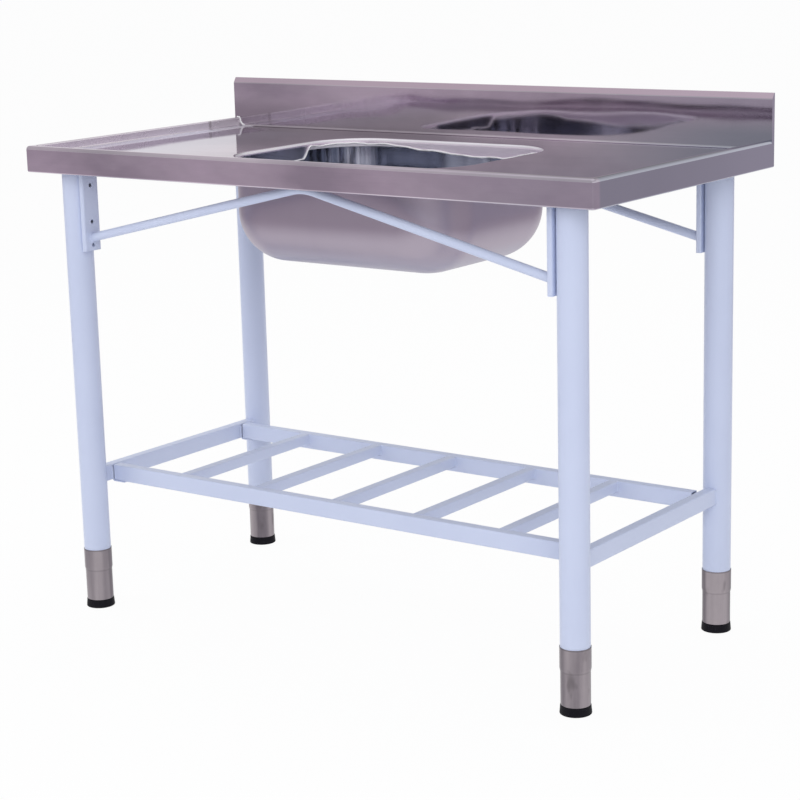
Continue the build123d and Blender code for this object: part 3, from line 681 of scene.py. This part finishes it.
zinc_steel, shader, place = new_finish("zinc_steel", metallic=1.0)
haze = noise(place, 160.0, detail=3)
feed(shader, "Base Color", tint(haze, (0.52, 0.53, 0.55), (0.68, 0.68, 0.68)))
feed(shader, "Roughness", 0.30 + haze * 0.12)
print(galvanised_steel.name, zinc_steel.name)

# %% Ground weld metal
weld_steel, shader, place = new_finish("weld_steel", metallic=0.45)
beads = noise(place, 300.0, detail=3)
heat = ramp(noise(place, 26.0, detail=3), (0.56, 0), (0.74, 0.50))
bright_weld = tint(beads, (0.84, 0.83, 0.86), (1.0, 0.99, 1.0))
feed(shader, "Base Color", tint(heat, bright_weld, (0.30, 0.26, 0.25)))
feed(shader, "Roughness", 0.12 + beads * 0.14)
bump(shader, beads, 0.3, 0.0006)
print(weld_steel.name)

# %% [markdown]
# ## Dressing the construction
#
# The record says which finish each piece takes, so the materials are handed out by that list. The pieces stay
# where they are and keep their shapes. Only the four stems get a stand-in, further down.

# %% Give every piece its finish
finishes = {
    "worktop_steel": worktop_steel,
    "bowl_steel": bowl_steel,
    "painted_frame": painted_frame,
    "sleeve_steel": sleeve_steel,
    "foot_plastic": foot_plastic,
    "insert_nylon": insert_nylon,
    "galvanised_steel": galvanised_steel,
    "zinc_steel": zinc_steel,
}
for entry in frame["record"]["subparts"]:
    piece = nodes[entry["node"]]
    piece.data.materials.clear()
    piece.data.materials.append(finishes[entry["material_slot"]])

# %% [markdown]
# ## Welds
#
# The bowl hangs from the deck by one weld, and on the stand each joint of two tubes has a small painted bead.
# A bead could be a bump in the paint, but its outline shows against the light, so it is a real rope of metal:
# a round section drawn along the joint, thicker and thinner along its way. A curve with a bevel draws it, and
# its mesh is kept. The unevenness comes from a seeded random source, so every run gives the same beads.

# %% A rope of weld metal along one or more joints
ripple = random.Random(7)
bead_thin = 0.75
bead_thick = 1.15


def weld(name, runs, thickness, finish, closed=False):
    """Draws an uneven round bead along each run of points and keeps it as one mesh on the stand."""
    rope = bpy.data.curves.new(name, "CURVE")
    rope.dimensions = "3D"
    rope.bevel_depth = thickness / 2
    rope.bevel_resolution = 2
    rope.use_fill_caps = True
    for run in runs:
        line = rope.splines.new("POLY")
        line.points.add(len(run) - 1)
        line.use_cyclic_u = closed
        for dot, spot in zip(line.points, run):
            dot.co = (*spot, 1)
            dot.radius = ripple.uniform(bead_thin, bead_thick)
    drawn = in_scene(name, rope)
    bead_mesh = bpy.data.meshes.new_from_object(drawn.evaluated_get(bpy.context.evaluated_depsgraph_get()))
    bpy.data.objects.remove(drawn)
    bpy.data.curves.remove(rope)
    bead_mesh.name = name
    bead_mesh.shade_smooth()
    bead_mesh.materials.clear()
    bead_mesh.materials.append(finish)
    made = in_scene(name, bead_mesh)
    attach(made, "stand")


def along(start, end, count):
    """Evenly spaced points from one place to another, both ends kept."""
    return [Vector(start).lerp(Vector(end), step / count) for step in range(count + 1)]


print("weld helper ready")

# %% [markdown]
# ### The seam in the bowl
#
# This bead goes once round the mouth as a bright line. Its plan is a rectangle with round corners, just
# inside the bowl's wall, so that nothing of it comes through to the outside. Then each point is lifted to the
# line of the weld, with a little wandering, because a hand-held torch never keeps quite level.

# %% The plan of the seam
bowl_wall = 0.001
bowl_corner = 0.099
seam_proud = 0.0010
seam_corner = bowl_corner - seam_proud
corner_steps = 30
side_steps = 44
seam_half = (bowl_high - bowl_low) / 2 - Vector((bowl_wall + seam_proud, bowl_wall + seam_proud, 0))
arc_centre = seam_half - Vector((seam_corner, seam_corner, 0))
outline = []
for quarter, (sign_x, sign_y) in enumerate(((1, 1), (-1, 1), (-1, -1), (1, -1))):
    hub = Vector((sign_x * arc_centre.x, sign_y * arc_centre.y, 0))
    for step in range(corner_steps + 1):
        angle = math.pi / 2 * (quarter + step / corner_steps)
        outline.append(hub + seam_corner * Vector((math.cos(angle), math.sin(angle), 0)))
outline.append(outline[0])
seam = []
for start, end in zip(outline, outline[1:]):
    steps = side_steps if (end - start).length > seam_corner else 1
    seam += along(start, end, steps)[:-1]
print("seam points", len(seam))


# %% Lift the seam to the weld's line
def smooth_share(value, start, end):
    """From nought at the start to one at the end, easing in and out."""
    share = min(max((value - start) / (end - start), 0), 1)
    return share * share * (3 - 2 * share)


seam_thickness = 0.0034
jitter = 0.0004
# each wave has a height, a number of crests round the mouth and a start
waves = ((0.0008, 17, 0.6), (0.0006, 31, 2.0))
for number, spot in enumerate(seam):
    turn_share = 2 * math.pi * number / len(seam)
    wander = sum(size * math.sin(crests * turn_share + begin) for size, crests, begin in waves)
    spot += Vector((bowl_middle.x, bowl_middle.y, wander + ripple.uniform(-jitter, jitter)))
    spot.z += weld_high + (weld_low - weld_high) * smooth_share(spot.x, weld_start, weld_end)
    spot.z += rise_height * smooth_share(spot.x, rise_start, rise_end)
    on_left = smooth_share(spot.x, left_corner, left_wall)
    spot.z -= dip_depth * on_left * smooth_share(spot.y, dip_start, dip_end)
weld("bowl_seam", [seam], seam_thickness, weld_steel, closed=True)
print("seam from", round(min(spot.z for spot in seam), 4), "to", round(max(spot.z for spot in seam), 4))

# %% [markdown]
# ### Painted beads on the stand
#
# The slats are welded to the shelf's rails on three sides, the side rails to the legs, and the supports to
# the side rails. Each run starts and ends at the edges of the pieces that it joins, and these are read from
# the construction. A flat rail meets a round leg where the leg's circle has the rail's distance from its
# middle, so the place of that bead follows from the leg's radius.

# %% Beads at slats, side rails and supports
bead_thickness = 0.0036
slat_count = 5
slat_steps = 6
slat_bead_drop = 0.003
upright_steps = 8
support_bead_lift = 0.004
bead_runs = []
for number in range(1, slat_count + 1):
    low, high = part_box(f"shelf_slat_{number}")
    for y in (low.y, high.y):
        bead_top = high.z - slat_bead_drop
        corners = [(low.x, y, bead_top), (low.x, y, low.z), (high.x, y, low.z), (high.x, y, bead_top)]
        bead_runs.append([spot for a, b in zip(corners, corners[1:]) for spot in along(a, b, slat_steps)])
for side in ("left", "right"):
    rail_low, rail_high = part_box(f"side_rail_{side}")
    for row, inward in (("front", 1), ("rear", -1)):
        leg_low, leg_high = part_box(f"leg_{row}_{side}")
        leg_middle = (leg_low + leg_high) / 2
        leg_radius = (leg_high.x - leg_low.x) / 2
        reach = math.sqrt(leg_radius ** 2 - (rail_high.x - leg_middle.x) ** 2)
        joint_y = leg_middle.y + inward * reach
        for x in (rail_low.x, rail_high.x):
            bead_runs.append(along((x, joint_y, rail_low.z), (x, joint_y, rail_high.z), upright_steps))
        low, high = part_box(f"shelf_support_{row}_{side}")
        flange_x = high.x if side == "right" else low.x
        for y in (low.y, high.y):
            bead_foot = (flange_x, y, low.z + support_bead_lift)
            bead_runs.append(along(bead_foot, (flange_x, y, high.z), upright_steps))
weld("stand_beads", bead_runs, bead_thickness, painted_frame)
print("beads", len(bead_runs))

# %% Rings where the braces meet the brackets
brace_radius = 0.008
ring_steps = 18
ring_thickness = 0.0030
ring_runs = []
for row in ("front", "rear"):
    low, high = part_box(f"brace_{row}")
    for x in (low.x, high.x):
        hub = Vector((x, (low.y + high.y) / 2, low.z + brace_radius))
        angles = [2 * math.pi * step / ring_steps for step in range(ring_steps)]
        ring_runs.append([hub + brace_radius * Vector((0, math.cos(a), math.sin(a))) for a in angles])
weld("brace_beads", ring_runs, ring_thickness, painted_frame, closed=True)
print("rings", len(ring_runs))

# %% [markdown]
# ### Ground welds at the upstand
#
# Where the end rims run into the upstand, the corner is closed by a weld that is ground to a bright line. It
# starts flat on the deck, sweeps up the rim like a fillet, and at the left goes on over the rim's crest. A
# quarter of an ellipse gives that sweep.

# %% Bright lines in the two rear corners
upstand_height = 0.080
upstand_depth = 0.009
rim_width = 0.013
rim_radius = 0.0025
deck_drop = 0.017
corner_foot = 0.012
corner_lift = 0.0012
corner_thickness = 0.0050
sweep_steps = 8
crest_steps = 6
crest_end = 0.006
top_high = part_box("worktop")[1]
rim_top = top_high.z - upstand_height
rim_inner_x = top_high.x - rim_width
upstand_face_y = top_high.y - upstand_depth
foot_z = rim_top - deck_drop + corner_lift
sweep_rise = rim_top - rim_radius - foot_z
corner_runs = []
for side in (-1, 1):
    sweep = []
    for step in range(sweep_steps + 1):
        angle = math.pi / 2 * step / sweep_steps
        inset = corner_foot * (1 - math.sin(angle))
        spot_z = foot_z + sweep_rise * (1 - math.cos(angle))
        sweep.append(Vector((side * (rim_inner_x - inset), upstand_face_y, spot_z)))
    corner_runs.append(sweep)
crest_from = (-rim_inner_x - rim_radius, upstand_face_y, rim_top)
crest_to = (crest_end - top_high.x, upstand_face_y, rim_top)
corner_runs[0] += along(crest_from, crest_to, crest_steps)
weld("rim_welds", corner_runs, corner_thickness, weld_steel)
print("rim welds", len(corner_runs))

# %% [markdown]
# ## Threaded stems
#
# A foot is wound out on its stem, and then the thread shows. In the construction the stem is a plain rod. A
# thread is a saw-tooth outline swept round and up at once: after one full turn each tooth lands on the next
# one, so a single turn of the spin operator makes the whole screw, and two cuts give it flat ends.

# %% Spin a thread and cut its ends
thread_pitch = 0.00175
crest_radius = 0.00592
root_radius = 0.0050
spin_steps = 28
spare_teeth = 3
teeth_below = 2
merge_distance = 0.00002


def spun_thread(low, high):
    """A helical screw round the upright axis of a box, with a spare tooth or two past both ends."""
    axis_x = (low.x + high.x) / 2
    axis_y = (low.y + high.y) / 2
    shape = bmesh.new()
    tooth_count = math.ceil((high.z - low.z) / thread_pitch) + spare_teeth
    start_z = low.z - teeth_below * thread_pitch
    dots = []
    for tooth in range(tooth_count):
        root_z = start_z + tooth * thread_pitch
        dots.append(shape.verts.new((axis_x + root_radius, axis_y, root_z)))
        dots.append(shape.verts.new((axis_x + crest_radius, axis_y, root_z + thread_pitch / 2)))
    edges = [shape.edges.new(pair) for pair in zip(dots, dots[1:])]
    bmesh.ops.spin(
        shape, geom=dots + edges, cent=(axis_x, axis_y, 0), axis=(0, 0, 1),
        dvec=(0, 0, thread_pitch / spin_steps), angle=2 * math.pi, steps=spin_steps)
    bmesh.ops.remove_doubles(shape, verts=shape.verts, dist=merge_distance)
    return shape


def cut_level(shape, cut_z, up):
    """Cuts a screw off level at a height and closes its end."""
    everything = shape.verts[:] + shape.edges[:] + shape.faces[:]
    cut = bmesh.ops.bisect_plane(
        shape, geom=everything, plane_co=(0, 0, cut_z), plane_no=(0, 0, up), clear_outer=True)
    cut_edges = [part for part in cut["geom_cut"] if isinstance(part, bmesh.types.BMEdge)]
    bmesh.ops.holes_fill(shape, edges=cut_edges)


print("thread helpers ready")


# %% Put a threaded stem in the place of each plain one
def threaded_stem(node):
    """A rod with a helical thread that stands for a plain stem and moves with it."""
    low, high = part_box(node)
    shape = spun_thread(low, high)
    cut_level(shape, low.z, -1)
    cut_level(shape, high.z, 1)
    bmesh.ops.dissolve_degenerate(shape, dist=merge_distance, edges=shape.edges)
    bmesh.ops.recalc_face_normals(shape, faces=shape.faces)
    open_edges = sum(1 for edge in shape.edges if not edge.is_manifold)
    stem_mesh = bpy.data.meshes.new(f"thread_{node}")
    shape.to_mesh(stem_mesh)
    shape.free()
    stem_mesh.materials.append(zinc_steel)
    made = in_scene(f"thread_{node}", stem_mesh)
    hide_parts(node)
    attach(made, node)
    return len(stem_mesh.polygons), open_edges


for node in sorted(nodes):
    if node.startswith("foot_stem"):
        print(node, "faces and open edges:", threaded_stem(node))

# %% [markdown]
# ## The end
#
# The colours are shown plainly, and the box of the dressed object is measured.

# %% Colour view, sizes and the end
bpy.context.scene.view_settings.view_transform = "Standard"
low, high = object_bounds()
